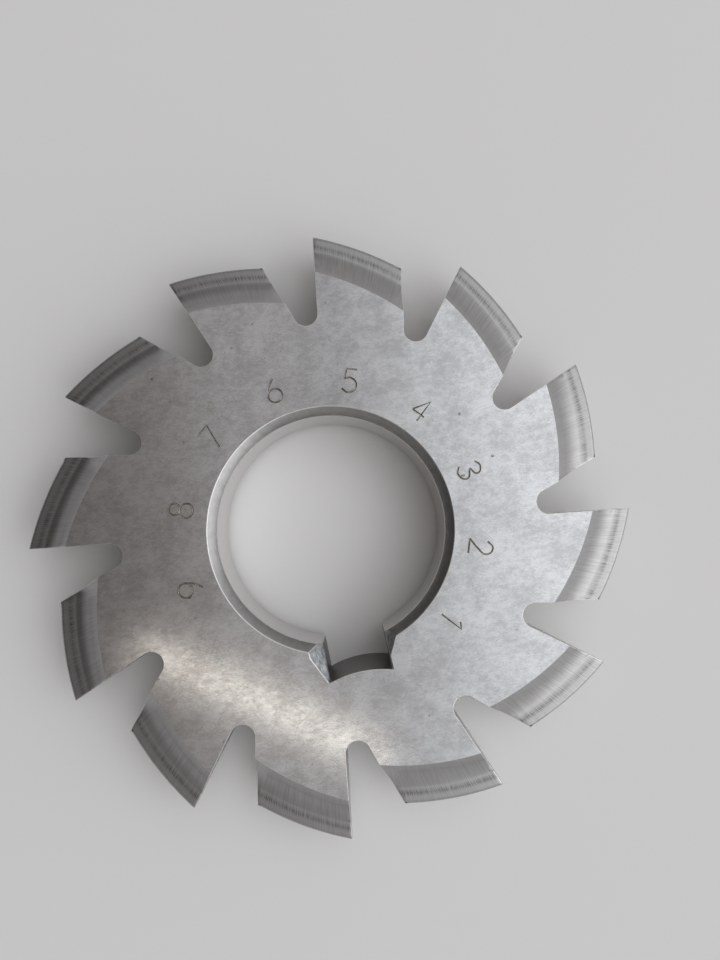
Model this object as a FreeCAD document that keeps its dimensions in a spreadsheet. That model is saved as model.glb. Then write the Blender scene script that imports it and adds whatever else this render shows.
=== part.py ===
import FreeCAD, Part
import Sketcher
import os
from math import cos, pi, radians, sin

# Form-relieved involute gear cutter: one disc of tool steel with twelve radial teeth,
# a keyed bore and flat ground sides. The axis is Z, the origin lies on the axis halfway
# through the thickness, and the keyway points along -Y. Seen from above, each tooth has
# its cutting face at its anticlockwise end and falls away clockwise behind it.

NODE = "gear_cutter"

# Driving sizes in millimetres and degrees.
SIZES = {
    # Disc and bore
    "outer_radius": 30.0,
    "thickness": 7.3,
    "bore_radius": 11.0,
    "bore_chamfer": 0.8,
    # Gear that the cutter makes: the gap between its teeth is the form of the cutter's tooth
    "gear_module": 2.0,
    "gear_teeth": 12,
    "pressure_angle": 20.0,
    "gear_dedendum": 2.5,
    "last_roll": 42.2,
    "tip_corner": 0.5,
    # Teeth of the cutter
    "cutter_teeth": 12,
    "relief_offset": 7.9,
    "gash_angle": 26.0,
    "gullet_centre": 21.0,
    "gullet_corner": 1.15,
    "keyway_lead": 7.9,
    # Keyway, with a bevel along both walls on both faces
    "keyway_width": 6.0,
    "keyway_floor": 14.1,
    "keyway_crown": 0.45,
    "bevel_at_mouth": 1.4,
    "bevel_at_floor": 0.1,
    "bevel_drop": 1.2,
    # How far the tools run past the metal that they cut
    "stock": 1.0,
    "overrun": 0.6,
    "lead_in": 2.0,
    "relief_sweep": 27.0,
}

doc = FreeCAD.newDocument("gear_cutter")
sheet = doc.addObject("Spreadsheet::Sheet", "Sizes")
for row, (name, value) in enumerate(SIZES.items(), start=1):
    sheet.set(f"A{row}", name)
    sheet.set(f"B{row}", str(value))
    sheet.setAlias(f"B{row}", name)
doc.recompute()

body = doc.addObject("PartDesign::Body", "Body")
body.Label = NODE

# Points of a line or an arc by number, and a sketch's own origin and horizontal axis.
START, END, CENTRE = range(1, 4)
ACROSS = -1
ORIGIN = (ACROSS, START)


def value(expression):
    """Present value of an expression over the sheet."""
    return float(sheet.evalExpression(expression))


def new_sketch(name, role):
    """Sketch on one of the body's origin planes."""
    sketch = body.newObject("Sketcher::SketchObject", name)
    support = next(item for item in body.Origin.OriginFeatures if item.Role == role)
    sketch.AttachmentSupport = [(support, "")]
    sketch.MapMode = "FlatFace"
    return sketch


def turn(sketch, axis, expression):
    """Turns a sketch about an axis of its own through the origin."""
    start = FreeCAD.Rotation(axis, value(expression))
    sketch.AttachmentOffset = FreeCAD.Placement(FreeCAD.Vector(), start)
    sketch.setExpression("AttachmentOffset.Rotation.Angle", expression)


def tie(sketch, kind, *refs, size=None):
    """Adds a constraint, and binds it to an expression where it has a size."""
    if size is None:
        sketch.addConstraint(Sketcher.Constraint(kind, *refs))
        return
    index = sketch.addConstraint(Sketcher.Constraint(kind, *refs, value(size)))
    sketch.setExpression(f"Constraints[{index}]", size)


def place(sketch, ref, x, y):
    """Holds a point of a sketch at x and y from the origin, both expressions."""
    tie(sketch, "DistanceX", *ORIGIN, *ref, size=x)
    tie(sketch, "DistanceY", *ORIGIN, *ref, size=y)


def point(x, y):
    return FreeCAD.Vector(value(x), value(y), 0)


def polygon(sketch, corners):
    """Closed outline of straight lines through corners given as expressions."""
    spots = [point(x, y) for x, y in corners]
    for first, second in zip(spots, spots[1:] + spots[:1]):
        sketch.addGeometry(Part.LineSegment(first, second))
    for index, corner in enumerate(corners):
        before = (index - 1) % len(corners)
        tie(sketch, "Coincident", before, END, index, START)
        place(sketch, (index, START), *corner)


# Turned blank: a ring with stock outside, and both edges of the bore chamfered.

half = "Sizes.thickness / 2"
bore = "Sizes.bore_radius"
blank_radius = "Sizes.outer_radius + Sizes.stock"
section = new_sketch("BlankSection", "XZ_Plane")
polygon(section, [
    (bore, f"-({half} - Sizes.bore_chamfer)"),
    (f"{bore} + Sizes.bore_chamfer", f"-{half}"),
    (blank_radius, f"-{half}"),
    (blank_radius, half),
    (f"{bore} + Sizes.bore_chamfer", half),
    (bore, f"{half} - Sizes.bore_chamfer"),
])
blank = body.newObject("PartDesign::Revolution", "Blank")
blank.Profile = section
blank.ReferenceAxis = (section, ["V_Axis"])
blank.Angle = 360
doc.recompute()


# Form of a tooth in the plane of its cutting face: the gap between two teeth of the gear.
# A straight flank points at the gear's centre, and from the base circle on the involute is
# met exactly at five roll angles by two arcs, which end in a straight tangent.
# The relief is turned about an axis that lies to the side of the disc's own, so the same
# form sinks towards the bore behind the cutting face. The form is drawn in a plane through
# that offset axis, where each point has the distance from it that it has at the cutting face.

pitch_radius = "(Sizes.gear_module * Sizes.gear_teeth / 2)"
root_radius = f"({pitch_radius} - Sizes.gear_dedendum)"
base_radius = f"({pitch_radius} * cos(Sizes.pressure_angle))"
degrees = "(180 / pi)"
pitch_involute = f"({degrees} * tan(Sizes.pressure_angle) - Sizes.pressure_angle)"
base_angle = f"(90 / Sizes.gear_teeth - {pitch_involute})"


def from_offset_axis(depth):
    """Distance from the offset axis of a point at a depth below the tip, at the cutting face."""
    return f"sqrt((Sizes.outer_radius - ({depth}))^2 + Sizes.relief_offset^2)"


def involute(share, side):
    """Point at a share of the last roll angle, on the side +1 or -1, as expressions."""
    roll = f"(Sizes.last_roll * {share})"
    turned = f"({base_angle} + {roll})"
    height = f"{base_radius} * (cos({turned}) + {roll} / {degrees} * sin({turned}))"
    width = f"{base_radius} * (sin({turned}) - {roll} / {degrees} * cos({turned}))"
    return from_offset_axis(f"{height} - {root_radius}"), f"{side} * {width}"


def flank(sketch, side):
    """One side of the tooth form, from the rounded tip corner out past the disc's side.
    Returns the corner arc and the last line, each with the end that is left open."""
    spots = [involute(share, side) for share in (0, 0.25, 0.5, 0.75, 1)]
    base, quarter, middle, later, last = (point(*spot) for spot in spots)
    radius = value("Sizes.tip_corner")
    hub = FreeCAD.Vector(value(tip) - radius, base.y - side * radius, 0)
    reach = side * value(f"{half} + Sizes.overrun")
    foot = FreeCAD.Vector(last.x - abs(reach - last.y), reach, 0)

    near, far = (START, END) if side > 0 else (END, START)
    quadrant = (0, pi / 2) if side > 0 else (1.5 * pi, 2 * pi)
    circle = Part.Circle(hub, FreeCAD.Vector(0, 0, 1), radius)
    corner = sketch.addGeometry(Part.ArcOfCircle(circle, *quadrant))
    straight = sketch.addGeometry(Part.LineSegment(hub + FreeCAD.Vector(0, side * radius, 0), base))
    arcs = []
    for first, through, second in ((base, quarter, middle), (middle, later, last)):
        ends = (second, through, first) if side > 0 else (first, through, second)
        arcs.append(sketch.addGeometry(Part.Arc(*ends)))
    tangent = sketch.addGeometry(Part.LineSegment(last, foot))
    away = sketch.addGeometry(Part.LineSegment(foot, FreeCAD.Vector(value(rim), reach, 0)))

    tie(sketch, "Radius", corner, size="Sizes.tip_corner")
    tie(sketch, "Tangent", corner, far, straight, START)
    tie(sketch, "Coincident", straight, END, arcs[0], far)
    tie(sketch, "Coincident", arcs[0], near, arcs[1], far)
    tie(sketch, "Tangent", arcs[1], near, tangent, START)
    tie(sketch, "Coincident", tangent, END, away, START)
    tie(sketch, "Horizontal", away)
    tie(sketch, "DistanceY", *ORIGIN, tangent, END, size=f"{side} * ({half} + Sizes.overrun)")
    tie(sketch, "DistanceX", *ORIGIN, away, END, size=rim)
    joints = (straight, END), (arcs[0], near), (arcs[1], near)
    for ref, spot in zip(joints, spots[::2]):
        place(sketch, ref, *spot)
    toe_depth = f"{root_radius} * (cos({base_angle}) - 1)"
    toe = from_offset_axis(toe_depth), f"{side} * {root_radius} * sin({base_angle})"
    for edge, spot in ((arcs[0], spots[1]), (arcs[1], spots[3]), (straight, toe)):
        on_edge = sketch.addGeometry(Part.Point(point(*spot)), True)
        place(sketch, (on_edge, START), *spot)
        tie(sketch, "PointOnObject", on_edge, START, edge)
    return (corner, near), (away, END)


tip = from_offset_axis("0")
rim = from_offset_axis("-(Sizes.stock + Sizes.relief_offset)")
face_direction = "(-90 - Sizes.keyway_lead)"
form = new_sketch("ToothForm", "XZ_Plane")
first_angle = "atan(Sizes.relief_offset / Sizes.outer_radius) / 1 deg - Sizes.lead_in"
turn(form, FreeCAD.Vector(0, 1, 0), f"{face_direction} - ({first_angle})")
form.setExpression("AttachmentOffset.Base.x", f"-Sizes.relief_offset * sin({face_direction})")
form.setExpression("AttachmentOffset.Base.z", f"-Sizes.relief_offset * cos({face_direction})")
tips, rims = zip(*(flank(form, side) for side in (1, -1)))
land = form.addGeometry(Part.LineSegment(*(form.getPoint(*ref) for ref in tips)))
tie(form, "Tangent", land, START, *tips[0])
tie(form, "Tangent", land, END, *tips[1])
tie(form, "Vertical", land)
tie(form, "DistanceX", *ORIGIN, land, START, size=tip)
outside = form.addGeometry(Part.LineSegment(*(form.getPoint(*ref) for ref in rims)))
tie(form, "Coincident", outside, START, *rims[0])
tie(form, "Coincident", outside, END, *rims[1])
doc.recompute()

relief = body.newObject("PartDesign::Groove", "Relief")
relief.Profile = form
relief.ReferenceAxis = (form, ["V_Axis"])
relief.setExpression("Angle", "Sizes.relief_sweep")
relief.Reversed = True
doc.recompute()


# Gullet: a straight cutting face on a radius, a round bottom and a straight back.

gash = new_sketch("GulletOutline", "XY_Plane")
turn(gash, FreeCAD.Vector(0, 0, 1), face_direction)
corner = value("Sizes.gullet_corner")
centre = point("Sizes.gullet_centre", "Sizes.gullet_corner")
opening = radians(value("Sizes.gash_angle"))
length = value(f"{blank_radius} - Sizes.gullet_centre + Sizes.gullet_corner")
back_way = FreeCAD.Vector(cos(opening), sin(opening), 0)
back_start = centre + FreeCAD.Vector(-sin(opening), cos(opening), 0) * corner
face_start = FreeCAD.Vector(centre.x, 0, 0)
face_end = face_start + FreeCAD.Vector(length, 0, 0)
back_end = back_start + back_way * length
circle = Part.Circle(centre, FreeCAD.Vector(0, 0, 1), corner)
face = gash.addGeometry(Part.LineSegment(face_start, face_end))
bottom = gash.addGeometry(Part.ArcOfCircle(circle, opening + pi / 2, 1.5 * pi))
back = gash.addGeometry(Part.LineSegment(back_start, back_end))
mouth = gash.addGeometry(Part.LineSegment(face_end, back_end))
tie(gash, "Tangent", face, START, bottom, END)
tie(gash, "Tangent", back, START, bottom, START)
tie(gash, "Coincident", face, END, mouth, START)
tie(gash, "Coincident", back, END, mouth, END)
tie(gash, "PointOnObject", face, START, ACROSS)
tie(gash, "Horizontal", face)
tie(gash, "Radius", bottom, size="Sizes.gullet_corner")
tie(gash, "DistanceX", *ORIGIN, bottom, CENTRE, size="Sizes.gullet_centre")
tie(gash, "Angle", face, START, back, START, size="Sizes.gash_angle")
tie(gash, "DistanceX", *ORIGIN, face, END, size=f"{blank_radius} + 2 * Sizes.stock")
tie(gash, "DistanceX", *ORIGIN, back, END, size=f"{blank_radius} + 2 * Sizes.stock")
gullet = body.newObject("PartDesign::Pocket", "Gullet")
gullet.Profile = gash
gullet.Type = "ThroughAll"
gullet.Midplane = True
doc.recompute()

teeth = body.newObject("PartDesign::PolarPattern", "Teeth")
teeth.Originals = [relief, gullet]
teeth.Axis = (gash, ["N_Axis"])
teeth.Angle = 360
teeth.setExpression("Occurrences", "Sizes.cutter_teeth")
body.Tip = teeth
doc.recompute()


# Keyway: parallel walls and a floor that is slightly crowned towards the bore.

slot = new_sketch("KeywayOutline", "XY_Plane")
wall = "Sizes.keyway_width / 2"
inside = "-(Sizes.bore_radius - 2 * Sizes.bore_chamfer)"
floor = "-Sizes.keyway_floor"
crown = "-(Sizes.keyway_floor - Sizes.keyway_crown)"
left, right = f"-{wall}", wall
right_wall = slot.addGeometry(Part.LineSegment(point(right, floor), point(right, inside)))
across = slot.addGeometry(Part.LineSegment(point(right, inside), point(left, inside)))
left_wall = slot.addGeometry(Part.LineSegment(point(left, inside), point(left, floor)))
rounded = slot.addGeometry(Part.Arc(point(right, floor), point("0", crown), point(left, floor)))
top = slot.addGeometry(Part.Point(point("0", crown)), True)
tie(slot, "Coincident", right_wall, END, across, START)
tie(slot, "Coincident", across, END, left_wall, START)
tie(slot, "Coincident", left_wall, END, rounded, END)
tie(slot, "Coincident", right_wall, START, rounded, START)
place(slot, (right_wall, START), right, floor)
place(slot, (across, START), right, inside)
place(slot, (left_wall, START), left, inside)
place(slot, (left_wall, END), left, floor)
place(slot, (top, START), "0", crown)
tie(slot, "PointOnObject", top, START, rounded)
keyway = body.newObject("PartDesign::Pocket", "Keyway")
keyway.Profile = slot
keyway.Type = "ThroughAll"
keyway.Midplane = True
body.Tip = keyway
doc.recompute()


# Bevels along the keyway's walls, wide at the bore and running out at the floor.

def bevel_section(name, distance, width, face_side, wall_side):
    """Outline of a bevel across the keyway, at a distance from the axis."""
    sketch = new_sketch(name, "XZ_Plane")
    sketch.AttachmentOffset = FreeCAD.Placement(FreeCAD.Vector(0, 0, 1), FreeCAD.Rotation())
    sketch.setExpression("AttachmentOffset.Base.z", distance)
    lift = f"{half} + Sizes.overrun"
    spread = f"(1 + Sizes.overrun / Sizes.bevel_drop) * {width}"
    polygon(sketch, [
        (f"{wall_side} * {wall}", f"{face_side} * ({lift})"),
        (f"{wall_side} * ({wall} + {spread})", f"{face_side} * ({lift})"),
        (f"{wall_side} * {wall}", f"{face_side} * ({half} - Sizes.bevel_drop)"),
    ])
    return sketch


for face_name, face_side in (("Top", 1), ("Bottom", -1)):
    for wall_name, wall_side in (("Right", 1), ("Left", -1)):
        label = f"{face_name}{wall_name}"
        ends = (face_side, wall_side)
        near_bore = bevel_section(f"{label}Mouth", "Sizes.bore_radius - Sizes.bore_chamfer",
                                  "Sizes.bevel_at_mouth", *ends)
        near_floor = bevel_section(f"{label}Floor", "Sizes.keyway_floor",
                                   "Sizes.bevel_at_floor", *ends)
        doc.recompute()
        bevel = body.newObject("PartDesign::SubtractiveLoft", f"{label}Bevel")
        bevel.Profile = near_bore
        bevel.Sections = [near_floor]
        bevel.Ruled = True
        body.Tip = bevel
        doc.recompute()


# Every object must have come out whole before the solid is written.

doc.recompute()
for item in doc.Objects:
    if {"Invalid", "Error"} & set(item.State):
        raise RuntimeError(f"{item.Name} failed: {item.State}")
if body.Shape.isNull() or not body.Shape.isValid() or len(body.Shape.Solids) != 1:
    raise RuntimeError(f"{body.Label} is not one valid solid")

os.makedirs("parts", exist_ok=True)
body.Shape.exportStep(f"parts/{body.Label}.step")
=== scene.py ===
from math import atan, atan2, cos, hypot, pi, radians, sin, sqrt, tan

import bmesh
import bpy
from mathutils import Matrix, Vector


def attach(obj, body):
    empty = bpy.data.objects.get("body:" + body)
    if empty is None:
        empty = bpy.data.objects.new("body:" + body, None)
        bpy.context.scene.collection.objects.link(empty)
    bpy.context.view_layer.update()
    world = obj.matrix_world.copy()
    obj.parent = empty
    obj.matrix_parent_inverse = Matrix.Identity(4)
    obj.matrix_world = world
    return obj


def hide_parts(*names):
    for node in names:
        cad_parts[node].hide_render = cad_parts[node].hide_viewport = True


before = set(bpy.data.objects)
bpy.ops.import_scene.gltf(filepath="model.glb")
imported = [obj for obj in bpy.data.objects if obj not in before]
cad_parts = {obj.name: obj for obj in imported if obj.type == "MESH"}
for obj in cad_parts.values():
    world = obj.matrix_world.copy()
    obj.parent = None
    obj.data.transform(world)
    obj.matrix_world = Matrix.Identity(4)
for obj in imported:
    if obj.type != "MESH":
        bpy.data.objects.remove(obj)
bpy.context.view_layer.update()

MM = 0.001


# The blank is a flat ring turned from a bar of high-speed steel, with its bore bored and
# both edges of the bore chamfered. Its flat sides are ground on a surface grinder, which
# leaves a satin, slightly cloudy face.

THICKNESS = 7.3 * MM
TIP_RADIUS = 30.0 * MM
STOCK_RADIUS = 30.8 * MM
BORE_RADIUS = 11.0 * MM
BORE_CHAMFER = 0.8 * MM
TOP = THICKNESS / 2
NEAR = MM / 10
SAME_SPOT = MM / 10000


def choose(kind, test):
    """Selects what passes a test in the mesh that is being edited."""
    bpy.ops.mesh.select_mode(type=kind)
    bpy.ops.mesh.select_all(action="DESELECT")
    mesh = bmesh.from_edit_mesh(bpy.context.object.data)
    for part in {"VERT": mesh.verts, "EDGE": mesh.edges, "FACE": mesh.faces}[kind]:
        part.select_set(test(part))
    mesh.select_flush_mode()
    bmesh.update_edit_mesh(bpy.context.object.data)


def edit(piece):
    """Makes one piece active and alone selected, and goes into edit mode on all of it."""
    bpy.ops.object.select_all(action="DESELECT")
    piece.select_set(True)
    bpy.context.view_layer.objects.active = piece
    bpy.ops.object.mode_set(mode="EDIT")
    bpy.ops.mesh.select_mode(type="VERT")
    bpy.ops.mesh.select_all(action="SELECT")


def added(kind, settings):
    """Adds a node to the material that is being made, with its settings."""
    made = nodes.new(kind)
    for name, value in settings.items():
        if name in made.inputs:
            made.inputs[name].default_value = value
        else:
            setattr(made, name, value)
    return made


def noise(vector, scale, detail=2.0, roughness=0.5):
    made = added("ShaderNodeTexNoise", {"Scale": scale, "Detail": detail, "Roughness": roughness})
    links.new(vector, made.inputs["Vector"])
    return made.outputs["Factor"] if "Factor" in made.outputs else made.outputs["Fac"]


def math(kind, *values):
    made = added("ShaderNodeMath", {"operation": kind})
    for value, socket in zip(values, made.inputs):
        if isinstance(value, (int, float)):
            socket.default_value = value
        else:
            links.new(value, socket)
    return made.outputs[0]


def spread(value, low, high, to_low, to_high):
    """Maps a value from one range to another, and keeps it inside."""
    made = added("ShaderNodeMapRange", {"From Min": low, "From Max": high,
                                        "To Min": to_low, "To Max": to_high})
    links.new(value, made.inputs["Value"])
    return made.outputs["Result"]


def mixed(factor, first, second):
    """Mixes two colours, each a socket or a plain colour."""
    made = added("ShaderNodeMix", {"data_type": "RGBA"})
    links.new(factor, made.inputs[0])
    for value, socket in ((first, made.inputs[6]), (second, made.inputs[7])):
        if isinstance(value, tuple):
            socket.default_value = (*value, 1.0)
        else:
            links.new(value, socket)
    return made.outputs[2]


def steel(name):
    """Starts a bare steel, and returns its place on the object and its shader."""
    global nodes, links
    material = bpy.data.materials.new(name)
    material.use_nodes = True
    nodes, links = material.node_tree.nodes, material.node_tree.links
    shader = nodes["Principled BSDF"]
    shader.inputs["Metallic"].default_value = 1.0
    return material, nodes.new("ShaderNodeTexCoord").outputs["Object"], shader


def rough_face(shader, height, depth):
    """Gives the shader a bumpy surface from a height between 0 and 1."""
    bump = added("ShaderNodeBump", {"Strength": 1.0, "Distance": depth})
    links.new(height, bump.inputs["Height"])
    links.new(bump.outputs["Normal"], shader.inputs["Normal"])


def stretched(place, scale, angle=0.0):
    made = added("ShaderNodeMapping", {"Scale": scale, "Rotation": (0.0, 0.0, angle)})
    links.new(place, made.inputs["Vector"])
    return made.outputs["Vector"]


ground, place, shader = steel("ground_flat")
clouds = noise(stretched(place, (1.0, 1.7, 1.0), radians(40)), 1300.0, 5.0, 0.7)
grain = noise(stretched(place, (1.0, 2.2, 1.0), radians(40)), 3600.0, 3.0, 0.65)
lines = noise(stretched(place, (14.0, 900.0, 1.0), radians(62)), 9.0, 3.0, 0.6)
patches = noise(place, 420.0, 3.0, 0.6)
tone = math("ADD", math("MULTIPLY", patches, 0.35),
            math("ADD", math("MULTIPLY", clouds, 0.35), math("MULTIPLY", grain, 0.30)))
satin = mixed(spread(tone, 0.425, 0.575, 0.0, 1.0),
              (0.49, 0.485, 0.49), (0.67, 0.675, 0.685))
pits = math("MULTIPLY", spread(noise(place, 1500.0, 0.0), 0.87, 0.91, 0.0, 1.0), 0.7)
links.new(mixed(pits, satin, (0.12, 0.11, 0.10)), shader.inputs["Base Color"])
shader.inputs["Specular Tint"].default_value = (0.70, 0.70, 0.71, 1.0)
links.new(spread(clouds, 0.3, 0.7, 0.155, 0.125), shader.inputs["Roughness"])
rough_face(shader, math("ADD", grain, math("MULTIPLY", lines, 0.5)), 0.0008 * MM)

bore_steel, place, shader = steel("bored_wall")
rings = noise(stretched(place, (30.0, 30.0, 4000.0)), 1.0, 2.0)
links.new(mixed(rings, (0.60, 0.59, 0.58), (0.74, 0.73, 0.72)), shader.inputs["Base Color"])
shader.inputs["Roughness"].default_value = 0.18
rough_face(shader, rings, 0.002 * MM)

chamfer_steel, place, shader = steel("turned_chamfer")
scuffs = noise(place, 1500.0, 3.0, 0.6)
links.new(mixed(scuffs, (0.28, 0.275, 0.27), (0.48, 0.475, 0.47)), shader.inputs["Base Color"])
shader.inputs["Roughness"].default_value = 0.36
rough_face(shader, scuffs, 0.008 * MM)

bpy.ops.object.select_all(action="DESELECT")
bpy.ops.mesh.primitive_circle_add(vertices=240, radius=STOCK_RADIUS)
cutter = bpy.context.object
cutter.name = "gear_cutter_body"
edit(cutter)
bpy.ops.transform.translate(value=(0, 0, -TOP))
bpy.ops.mesh.extrude_edges_move()
bore_share = BORE_RADIUS / STOCK_RADIUS
bpy.ops.transform.resize(value=(bore_share, bore_share, 1), center_override=(0, 0, 0))
bpy.ops.mesh.select_all(action="SELECT")
bpy.ops.mesh.extrude_region_move(TRANSFORM_OT_translate={"value": (0, 0, THICKNESS)})
bpy.ops.mesh.select_all(action="SELECT")
bpy.ops.mesh.normals_make_consistent(inside=False)


def along_bore(edge):
    first, second = (corner.co for corner in edge.verts)
    outermost = max(hypot(*first.xy), hypot(*second.xy))
    return abs(first.z - second.z) < NEAR and outermost < BORE_RADIUS + NEAR


choose("EDGE", along_bore)
bpy.ops.mesh.bevel(offset=BORE_CHAMFER, segments=1, affect="EDGES")
bpy.ops.object.mode_set(mode="OBJECT")
for metal in (ground, bore_steel, chamfer_steel):
    cutter.data.materials.append(metal)
for face in cutter.data.polygons:
    if hypot(*face.center.xy) < BORE_RADIUS + BORE_CHAMFER and abs(face.normal.z) < 0.9:
        face.material_index = 1 if abs(face.normal.z) < 0.1 else 2


# Each tooth is relieved on a lathe: the tool has the form of the gap between two teeth of
# the gear, and is fed in towards the bore while the tooth passes, so the same form sinks
# behind the cutting face. The tool's marks stand across the flank.

MODULE = 2.0 * MM
GEAR_TEETH = 12
PRESSURE_ANGLE = radians(20)
GEAR_DEDENDUM = 2.5 * MM
LAST_ROLL = radians(42.2)
TIP_CORNER = 0.5 * MM
RELIEF_OFFSET = 7.9 * MM
CUTTER_TEETH = 12
PITCH = 2 * pi / CUTTER_TEETH
FIRST_FACE = radians(-90 - 7.9)
JUST_BEHIND = 0.0003
HOLLOW = 29.9 * MM
PAST = 0.6 * MM

flank_steel, place, shader = steel("relieved_flank")
spot = nodes.new("ShaderNodeSeparateXYZ")
links.new(place, spot.inputs["Vector"])
from_axis = math("SQRT", math("ADD", math("POWER", spot.outputs["X"], 2.0),
                              math("POWER", spot.outputs["Y"], 2.0)))
around = math("ARCTAN2", spot.outputs["Y"], spot.outputs["X"])
pitches = math("DIVIDE", math("SUBTRACT", around, FIRST_FACE + JUST_BEHIND), PITCH)
behind = math("MULTIPLY", math("SUBTRACT", 1.0, math("FLOORED_MODULO", pitches, 1.0)), PITCH)
sunk = math("MULTIPLY", math("MULTIPLY", math("SINE", behind), from_axis), 2 * RELIEF_OFFSET)
squares = math("ADD", math("POWER", from_axis, 2.0), RELIEF_OFFSET ** 2)
on_flank = math("SQRT", math("ADD", squares, sunk))
unrolled = nodes.new("ShaderNodeCombineXYZ")
links.new(math("MULTIPLY", pitches, 190.0), unrolled.inputs["X"])
links.new(math("MULTIPLY", on_flank, 300.0), unrolled.inputs["Y"])
links.new(math("MULTIPLY", spot.outputs["Z"], 60.0), unrolled.inputs["Z"])
marks = noise(unrolled.outputs["Vector"], 1.0, 3.0, 0.6)
# Painted shade: a narrow band around the hollow of the flank is darkened almost to black, broken
# up by the tool marks and by patchy noise.
hollow_shade_breakup = noise(place, 520.0, 4.0, 0.65)
bare = mixed(spread(marks, 0.32, 0.68, 0.0, 1.0), (0.36, 0.352, 0.35), (0.50, 0.492, 0.493))
hollow = math("MULTIPLY", spread(on_flank, HOLLOW - 0.45 * MM, HOLLOW, 0.0, 1.0),
              spread(on_flank, HOLLOW, HOLLOW + 0.35 * MM, 1.0, 0.0))
hollow_shade_mask = math("MULTIPLY", hollow, spread(marks, 0.44, 0.57, 1.0, 0.1))
painted_hollow_shade = math("MULTIPLY", hollow_shade_mask, spread(hollow_shade_breakup, 0.35, 0.6, 0.45, 0.9))
# The near-black colour mixed in here is the painted shade in the hollow.
links.new(mixed(painted_hollow_shade, bare, (0.09, 0.085, 0.08)), shader.inputs["Base Color"])
shader.inputs["Roughness"].default_value = 0.40
rough_face(shader, math("MULTIPLY", marks, spread(hollow, 0.0, 1.0, 0.4, 1.0)), 0.012 * MM)


def drawn(name, spots):
    """Draws a closed outline, one corner after another, and fills it."""
    bpy.ops.object.select_all(action="DESELECT")
    bpy.ops.mesh.primitive_plane_add(size=MM)
    piece = bpy.context.object
    piece.name = name
    edit(piece)
    bpy.ops.mesh.merge(type="CENTER")
    bpy.ops.transform.translate(value=spots[0])
    for here, there in zip(spots, spots[1:]):
        step = Vector(there) - Vector(here)
        bpy.ops.mesh.extrude_vertices_move(TRANSFORM_OT_translate={"value": step})
    bpy.ops.mesh.select_all(action="SELECT")
    bpy.ops.mesh.edge_face_add()
    return piece


def made_solid(way):
    """Draws an outline out to a solid tool."""
    bpy.ops.mesh.extrude_region_move(TRANSFORM_OT_translate={"value": way})


def finished():
    """Turns a tool's faces outwards, and leaves edit mode."""
    bpy.ops.mesh.select_all(action="SELECT")
    bpy.ops.mesh.normals_make_consistent(inside=False)
    bpy.ops.object.mode_set(mode="OBJECT")


def repeated(piece):
    """Turns a tool to each of the cutter's teeth, and joins them."""
    row = []
    for tooth in range(CUTTER_TEETH):
        bpy.ops.object.select_all(action="DESELECT")
        piece.select_set(True)
        bpy.context.view_layer.objects.active = piece
        bpy.ops.object.duplicate()
        bpy.context.object.rotation_euler.z = FIRST_FACE + 2 * pi * tooth / CUTTER_TEETH
        row.append(bpy.context.object)
    bpy.data.objects.remove(piece)
    for copy in row:
        copy.select_set(True)
    bpy.ops.object.join()
    bpy.ops.object.transform_apply(location=True, rotation=True, scale=True)
    return bpy.context.object


def cut_away(tool, metal):
    """Takes a tool's shape out of the cutter, and leaves faces of the tool's metal."""
    tool.data.materials.append(metal)
    cut = cutter.modifiers.new("cut", "BOOLEAN")
    cut.operation = "DIFFERENCE"
    cut.solver = "EXACT"
    cut.material_mode = "TRANSFER"
    cut.object = tool
    bpy.ops.object.select_all(action="DESELECT")
    cutter.select_set(True)
    bpy.context.view_layer.objects.active = cutter
    bpy.ops.object.modifier_apply(modifier=cut.name)
    bpy.data.objects.remove(tool)


base_radius = MODULE * GEAR_TEETH / 2 * cos(PRESSURE_ANGLE)
root_radius = MODULE * GEAR_TEETH / 2 - GEAR_DEDENDUM
base_angle = pi / 2 / GEAR_TEETH - (tan(PRESSURE_ANGLE) - PRESSURE_ANGLE)


def on_form(radius, width):
    """Corner of the form, as its distance from the offset axis and its height."""
    return sqrt(radius ** 2 + RELIEF_OFFSET ** 2), width


flank = []
for step in range(17):
    roll = LAST_ROLL * step / 16
    turned = base_angle + roll
    height = base_radius * (cos(turned) + roll * sin(turned))
    width = base_radius * (sin(turned) - roll * cos(turned))
    flank.append(on_form(TIP_RADIUS - (height - root_radius), width))
toe = on_form(TIP_RADIUS + root_radius * (1 - cos(base_angle)), root_radius * sin(base_angle))
slope = (toe[1] - flank[0][1]) / (toe[0] - flank[0][0])
hub_out = on_form(TIP_RADIUS, 0)[0] - TIP_CORNER
hub_up = flank[0][1] + slope * (hub_out - flank[0][0]) - TIP_CORNER * hypot(1, slope)
corner_turn = atan2(1, -slope)
rounding = [(hub_out + TIP_CORNER * cos(corner_turn * step / 6),
             hub_up + TIP_CORNER * sin(corner_turn * step / 6)) for step in range(7)]
foot = flank[-1][0] - (TOP + PAST - flank[-1][1]), TOP + PAST
rim = on_form(STOCK_RADIUS + RELIEF_OFFSET, 0)[0], TOP + PAST
upper = rounding + flank + [foot, rim]
section = upper + [(out, -up) for out, up in reversed(upper)]
lead_in = radians(1) - atan(RELIEF_OFFSET / TIP_RADIUS)
tool = drawn("relief_tool", [(out * cos(lead_in), RELIEF_OFFSET + out * sin(lead_in), up)
                             for out, up in section])
bpy.ops.mesh.spin(steps=25, angle=radians(25), center=(0, RELIEF_OFFSET, 0), axis=(0, 0, 1))
bpy.ops.mesh.select_all(action="SELECT")
bpy.ops.mesh.remove_doubles(threshold=SAME_SPOT)
finished()
cut_away(repeated(tool), flank_steel)


# The gullets between the teeth are milled right through, and the cutting faces are ground
# on a radius of the disc, so each one has a keen edge, a round bottom and a straight back.

GASH_ANGLE = radians(26)
GULLET_CENTRE = 21.0 * MM
GULLET_CORNER = 1.15 * MM
GULLET_LENGTH = 13.0 * MM

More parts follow.
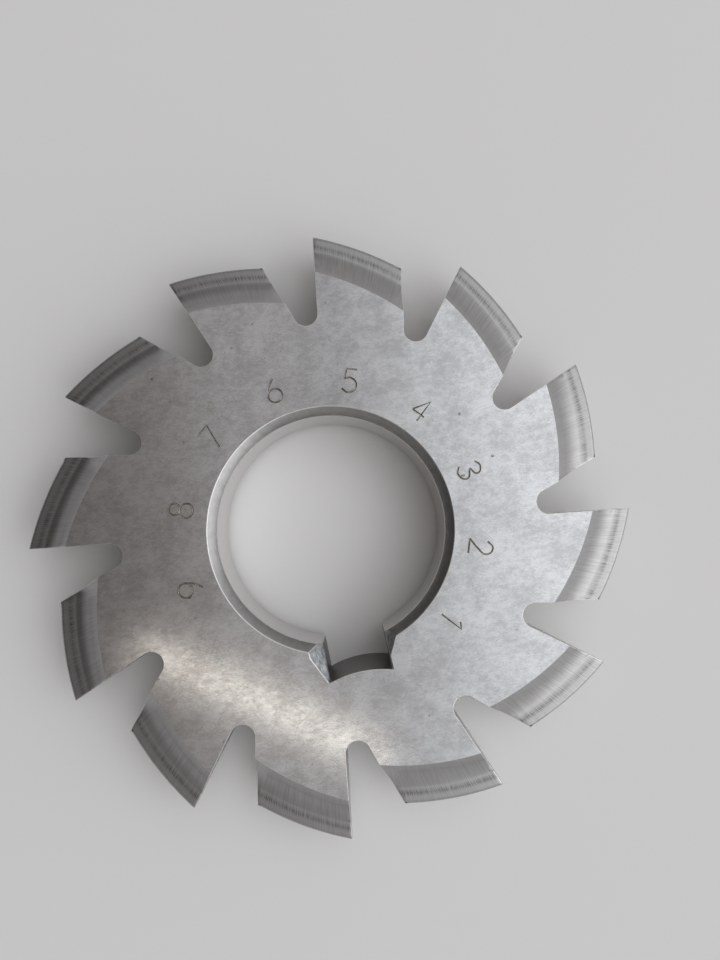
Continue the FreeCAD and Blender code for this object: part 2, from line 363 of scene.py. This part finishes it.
gullet_steel, place, shader = steel("ground_gullet")
strokes = noise(stretched(place, (60.0, 60.0, 3600.0)), 1.0, 3.0)
links.new(mixed(strokes, (0.36, 0.35, 0.34), (0.56, 0.55, 0.54)), shader.inputs["Base Color"])
shader.inputs["Roughness"].default_value = 0.36
rough_face(shader, strokes, 0.006 * MM)

turns = [GASH_ANGLE + pi / 2 + (pi - GASH_ANGLE) * step / 20 for step in range(21)]
bottom = [(GULLET_CENTRE + GULLET_CORNER * cos(turn), GULLET_CORNER + GULLET_CORNER * sin(turn))
          for turn in turns]
back = (bottom[0][0] + GULLET_LENGTH * cos(GASH_ANGLE),
        bottom[0][1] + GULLET_LENGTH * sin(GASH_ANGLE))
tool = drawn("gullet_tool", [(x, y, -THICKNESS) for x, y in
                             [back, *bottom, (GULLET_CENTRE + GULLET_LENGTH, 0)]])
made_solid((0, 0, 2 * THICKNESS))
finished()
cut_away(repeated(tool), gullet_steel)


# The keyway is broached through the bore, with a floor that is a little crowned, and both
# of its edges are dressed by hand with a coarse stone on each side of the disc.

KEYWAY_HALF = 3.0 * MM
KEYWAY_FLOOR = 14.1 * MM
KEYWAY_CROWN = 0.45 * MM
KEYWAY_MOUTH = 9.4 * MM
BEVEL_AT_MOUTH = 1.4 * MM
BEVEL_AT_FLOOR = 0.1 * MM
BEVEL_DROP = 1.2 * MM

keyway_steel, place, shader = steel("broached_keyway")
strokes = noise(stretched(place, (5200.0, 5200.0, 60.0)), 1.0, 3.0)
links.new(mixed(strokes, (0.15, 0.14, 0.135), (0.27, 0.26, 0.25)), shader.inputs["Base Color"])
shader.inputs["Roughness"].default_value = 0.40
rough_face(shader, strokes, 0.008 * MM)

dressed_steel, place, shader = steel("dressed_edge")
scuffs = noise(stretched(place, (2600.0, 1500.0, 2000.0)), 1.0, 4.0, 0.7)
links.new(mixed(spread(scuffs, 0.38, 0.60, 0.0, 1.0), (0.50, 0.53, 0.56), (0.92, 0.95, 0.97)),
          shader.inputs["Base Color"])
shader.inputs["Roughness"].default_value = 0.38
rough_face(shader, scuffs, 0.06 * MM)

sink = (KEYWAY_HALF ** 2 + KEYWAY_CROWN ** 2) / (2 * KEYWAY_CROWN)
floor = []
for step in range(17):
    across = KEYWAY_HALF * (step / 8 - 1)
    floor.append((across, KEYWAY_CROWN - KEYWAY_FLOOR - sink + sqrt(sink ** 2 - across ** 2)))
mouth = [(-KEYWAY_HALF, -KEYWAY_MOUTH), (KEYWAY_HALF, -KEYWAY_MOUTH)]
tool = drawn("keyway_tool", [(x, y, -THICKNESS) for x, y in [mouth[0], *floor, mouth[1]]])
made_solid((0, 0, 2 * THICKNESS))
finished()
cut_away(tool, keyway_steel)

KEYWAY_START = BORE_RADIUS - BORE_CHAMFER
wedge_run = KEYWAY_FLOOR - KEYWAY_START


def at_outer_end(corner):
    """Tells the corner of a bevel tool that lies farthest out along the keyway's wall."""
    return corner.co.y < -KEYWAY_FLOOR + NEAR and abs(corner.co.x) > KEYWAY_HALF + NEAR


for face_side in (1, -1):
    for wall_side in (1, -1):
        ends = []
        for reach, bevel in ((KEYWAY_START, BEVEL_AT_MOUTH), (KEYWAY_FLOOR, BEVEL_AT_FLOOR)):
            outer = KEYWAY_HALF + bevel * (1 + PAST / BEVEL_DROP)
            ends.append([(wall_side * x, -reach, face_side * z) for x, z in
                         ((KEYWAY_HALF, TOP + PAST), (outer, TOP + PAST),
                          (KEYWAY_HALF, TOP - BEVEL_DROP))])
        tool = drawn("bevel_tool", ends[0])
        made_solid((0, -wedge_run, 0))
        choose("VERT", at_outer_end)
        narrowing = Vector(ends[1][1]) - Vector(ends[0][1]) - Vector((0, -wedge_run, 0))
        bpy.ops.transform.translate(value=narrowing)
        finished()
        cut_away(tool, dressed_steel)


# All edges are stoned lightly, which breaks them by a few hundredths of a millimetre and
# leaves them bright.

EDGE_BREAK = 0.06 * MM

edge_steel, place, shader = steel("stoned_edge")
nicks = noise(place, 2600.0, 3.0, 0.6)
links.new(mixed(nicks, (0.50, 0.49, 0.48), (0.82, 0.81, 0.80)), shader.inputs["Base Color"])
shader.inputs["Roughness"].default_value = 0.34
rough_face(shader, nicks, 0.01 * MM)

edit(cutter)
bpy.ops.mesh.remove_doubles(threshold=MM / 1000)
bpy.ops.mesh.dissolve_limited(angle_limit=radians(0.05), delimit={"MATERIAL"})
bpy.ops.object.mode_set(mode="OBJECT")
metals = list(cutter.data.materials)
cutter.data.materials.append(edge_steel)
keen = {metals.index(ground), metals.index(flank_steel)}


def blunted(edge):
    """Tells a sharp edge, unless it is the crisp one between a flank and the flat side."""
    if len(edge.link_faces) != 2 or edge.calc_face_angle() < radians(22):
        return False
    return {face.material_index for face in edge.link_faces} != keen


edit(cutter)
choose("EDGE", blunted)
bpy.ops.mesh.bevel(offset=EDGE_BREAK, segments=2, affect="EDGES", clamp_overlap=False,
                   material=len(cutter.data.materials) - 1)
bpy.ops.object.mode_set(mode="OBJECT")


# Plain numbers are engraved on the top side, one for each of nine teeth, with a fine
# round-nosed tool.

NUMBER_RING = 14.4 * MM
NUMBER_HEIGHT = 2.3 * MM
NUMBER_STROKE = 0.09 * MM
FIRST_NUMBER = radians(-37 - 11.85)

engraved, place, shader = steel("engraved_line")
groove_mottle = noise(place, 2400.0, 2.0)
# Painted shade and a painted warm reflection: the engraved grooves are coloured dark brownish
# grey, mottled by noise.
links.new(mixed(spread(groove_mottle, 0.35, 0.65, 0.0, 1.0), (0.22, 0.19, 0.16), (0.42, 0.385, 0.34)),
          shader.inputs["Base Color"])
shader.inputs["Roughness"].default_value = 0.45
rough_face(shader, groove_mottle, 0.02 * MM)

LINE, BEND, LOOP = "line", "bend", "loop"
NUMERALS = {
    1: [(LINE, (0.14, 0.80), (0.36, 1.0), (0.36, 0.0))],
    2: [(BEND, (0.03, 0.76), (0.30, 1.0), (0.57, 0.74), (0.36, 0.38), (0.0, 0.0)),
        (LINE, (0.0, 0.0), (0.6, 0.0))],
    3: [(BEND, (0.04, 0.86), (0.30, 1.0), (0.55, 0.77), (0.24, 0.55)),
        (BEND, (0.24, 0.55), (0.6, 0.28), (0.30, 0.0), (0.0, 0.15))],
    4: [(LINE, (0.44, 0.0), (0.44, 1.0), (0.0, 0.3)), (LINE, (0.0, 0.3), (0.6, 0.3))],
    5: [(LINE, (0.55, 1.0), (0.12, 1.0), (0.06, 0.56)),
        (BEND, (0.06, 0.56), (0.34, 0.63), (0.6, 0.32), (0.30, 0.0), (0.0, 0.13))],
    6: [(BEND, (0.46, 1.0), (0.15, 0.68), (0.0, 0.29)),
        (LOOP, (0.30, 0.58), (0.6, 0.29), (0.30, 0.0), (0.0, 0.29))],
    7: [(LINE, (0.0, 1.0), (0.6, 1.0), (0.2, 0.0))],
    8: [(LOOP, (0.30, 1.0), (0.54, 0.77), (0.30, 0.54), (0.06, 0.77)),
        (LOOP, (0.30, 0.54), (0.6, 0.27), (0.30, 0.0), (0.0, 0.27))],
    9: [(BEND, (0.14, 0.0), (0.45, 0.32), (0.6, 0.71)),
        (LOOP, (0.30, 1.0), (0.6, 0.71), (0.30, 0.42), (0.0, 0.71))],
}

strokes = []
for number, shapes in NUMERALS.items():
    turn = FIRST_NUMBER + PITCH * (number - 1)
    upright = Matrix.Rotation(turn - pi / 2, 4, "Z")
    for kind, *corners in shapes:
        bpy.ops.object.select_all(action="DESELECT")
        bpy.ops.curve.primitive_bezier_curve_add()
        stroke = bpy.context.object
        stroke.data.splines.clear()
        line = stroke.data.splines.new("BEZIER")
        line.bezier_points.add(len(corners) - 1)
        line.use_cyclic_u = kind == LOOP
        for knot, (x, y) in zip(line.bezier_points, corners):
            handle = "VECTOR" if kind == LINE else "AUTO"
            knot.handle_left_type = knot.handle_right_type = handle
            knot.co = upright @ Vector(((x - 0.3) * NUMBER_HEIGHT,
                                        NUMBER_RING + (y - 0.5) * NUMBER_HEIGHT, TOP))
        stroke.data.resolution_u = 8
        stroke.data.bevel_depth = NUMBER_STROKE
        stroke.data.bevel_resolution = 2
        stroke.data.use_fill_caps = True
        bpy.ops.object.convert(target="MESH")
        edit(bpy.context.object)
        bpy.ops.mesh.remove_doubles(threshold=SAME_SPOT)
        finished()
        strokes.append(bpy.context.object)
for stroke in strokes:
    cut_away(stroke, engraved)

bpy.ops.object.shade_smooth_by_angle(angle=radians(35))
flatten = cutter.modifiers.new("flatten", "WEIGHTED_NORMAL")
flatten.keep_sharp = True
flatten.weight = 100
bpy.ops.object.modifier_apply(modifier=flatten.name)
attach(cutter, "root")
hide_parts("gear_cutter")


# The floor is a plain pale board that the cutter lies flat on.

FLOOR_SIZE = 3.0

paint = bpy.data.materials.new("pale_board")
paint.use_nodes = True
board_shader = paint.node_tree.nodes["Principled BSDF"]
board_shader.inputs["Base Color"].default_value = (0.87, 0.86, 0.85, 1.0)
board_shader.inputs["Roughness"].default_value = 0.8

bpy.ops.object.select_all(action="DESELECT")
bpy.ops.mesh.primitive_plane_add(size=FLOOR_SIZE, location=(0, 0, -TOP))
board = bpy.context.object
board.name = "floor"
board.data.materials.append(paint)


# The light comes softly from the right: the room is darker on the left, with a bright wall
# on the right and a warm tube lamp overhead, which shows as a streak across the flat side.

IMAGE_TURN = radians(11.85)
CEILING = {0.0: (0.06, 0.057, 0.055), 0.2: (0.10, 0.095, 0.093), 0.335: (0.245, 0.225, 0.215),
           0.37: (0.30, 0.28, 0.27), 0.40: (0.42, 0.405, 0.40), 0.43: (0.47, 0.455, 0.45),
           0.5: (0.49, 0.485, 0.49), 0.60: (0.90, 0.92, 0.94), 0.65: (1.10, 1.12, 1.15),
           0.75: (1.20, 1.22, 1.25)}
WALLS = {0.0: (0.05, 0.047, 0.045), 0.12: (0.07, 0.067, 0.065), 0.25: (0.25, 0.245, 0.24),
         0.5: (0.36, 0.355, 0.35), 0.75: (0.55, 0.55, 0.55), 1.0: (0.55, 0.55, 0.56)}


def lamp(name, place, length, width, lengthways, power, colour):
    """Adds a rectangular soft light that faces the cutter, with its length one way."""
    out = Vector(place).normalized()
    across = out.cross(Vector(lengthways)).normalized()
    turned = Matrix((across.cross(out), across, out)).transposed()
    to_scene = Matrix.Rotation(-IMAGE_TURN, 3, "Z")
    bpy.ops.object.light_add(type="AREA", location=to_scene @ Vector(place))
    made = bpy.context.object
    made.name = name
    made.rotation_euler = (to_scene @ turned).to_euler()
    made.data.shape = "RECTANGLE"
    made.data.size = length
    made.data.size_y = width
    made.data.energy = power
    made.data.color = colour


lamp("bright_wall", (0.96, -0.26, 0.50), 1.5, 1.0, (0.25, 1, 0), 5.2, (0.98, 0.99, 1.0))
lamp("tube_lamp", (-0.13, -0.27, 0.90), 0.41, 0.022, (0.27, -0.117, 0), 0.068, (1.0, 0.93, 0.81))

room = bpy.data.worlds.new("room")
bpy.context.scene.world = room
room.use_nodes = True
nodes, links = room.node_tree.nodes, room.node_tree.links
outwards = nodes.new("ShaderNodeTexCoord").outputs["Generated"]


def brighter_towards(turn, tones):
    """Colours the room from its dark side to its bright side, which lies at a turn."""
    share = nodes.new("ShaderNodeVectorMath")
    share.operation = "DOT_PRODUCT"
    links.new(outwards, share.inputs[0])
    share.inputs[1].default_value = (cos(turn), sin(turn), 0.0)
    ramp = nodes.new("ShaderNodeValToRGB")
    links.new(spread(share.outputs["Value"], -1.0, 1.0, 0.0, 1.0), ramp.inputs["Fac"])
    stops = ramp.color_ramp.elements
    stops.remove(stops[0])
    stops[0].position = 1.0
    stops[0].color = (*list(tones.values())[-1], 1.0)
    for position, tone in tones.items():
        if position < 1.0:
            stops.new(position).color = (*tone, 1.0)
    return ramp.outputs["Color"]


height = nodes.new("ShaderNodeSeparateXYZ")
links.new(outwards, height.inputs["Vector"])
upwards = spread(height.outputs["Z"], 0.50, 0.82, 0.0, 1.0)
walls = brighter_towards(radians(-15) - IMAGE_TURN, WALLS)
ceiling = brighter_towards(radians(6) - IMAGE_TURN, CEILING)
links.new(mixed(upwards, walls, ceiling), nodes["Background"].inputs["Color"])
nodes["Background"].inputs["Strength"].default_value = 1.0


# The camera is held close above the disc, a little off square, as for a snapshot.

FOCAL_PIXELS = 618.22
IMAGE_HEIGHT = 960
SENSOR = 36.0
TILT_X, TILT_Y = -0.0689, 0.0151
SHIFT = Vector((-2.8163, -4.8817, -62.523)) * MM

bpy.ops.object.camera_add()
camera = bpy.context.object
camera.name = "camera"
look = (Matrix.Rotation(TILT_X, 3, "X") @ Matrix.Rotation(TILT_Y, 3, "Y")
        @ Matrix.Rotation(IMAGE_TURN, 3, "Z"))
camera.rotation_mode = "QUATERNION"
camera.rotation_quaternion = look.transposed().to_quaternion()
camera.location = -(look.transposed() @ SHIFT)
camera.data.sensor_fit = "AUTO"
camera.data.sensor_width = SENSOR
camera.data.lens = FOCAL_PIXELS * SENSOR / IMAGE_HEIGHT
camera.data.clip_start = 0.001
bpy.context.scene.camera = camera

bpy.context.scene.view_settings.view_transform = "Standard"
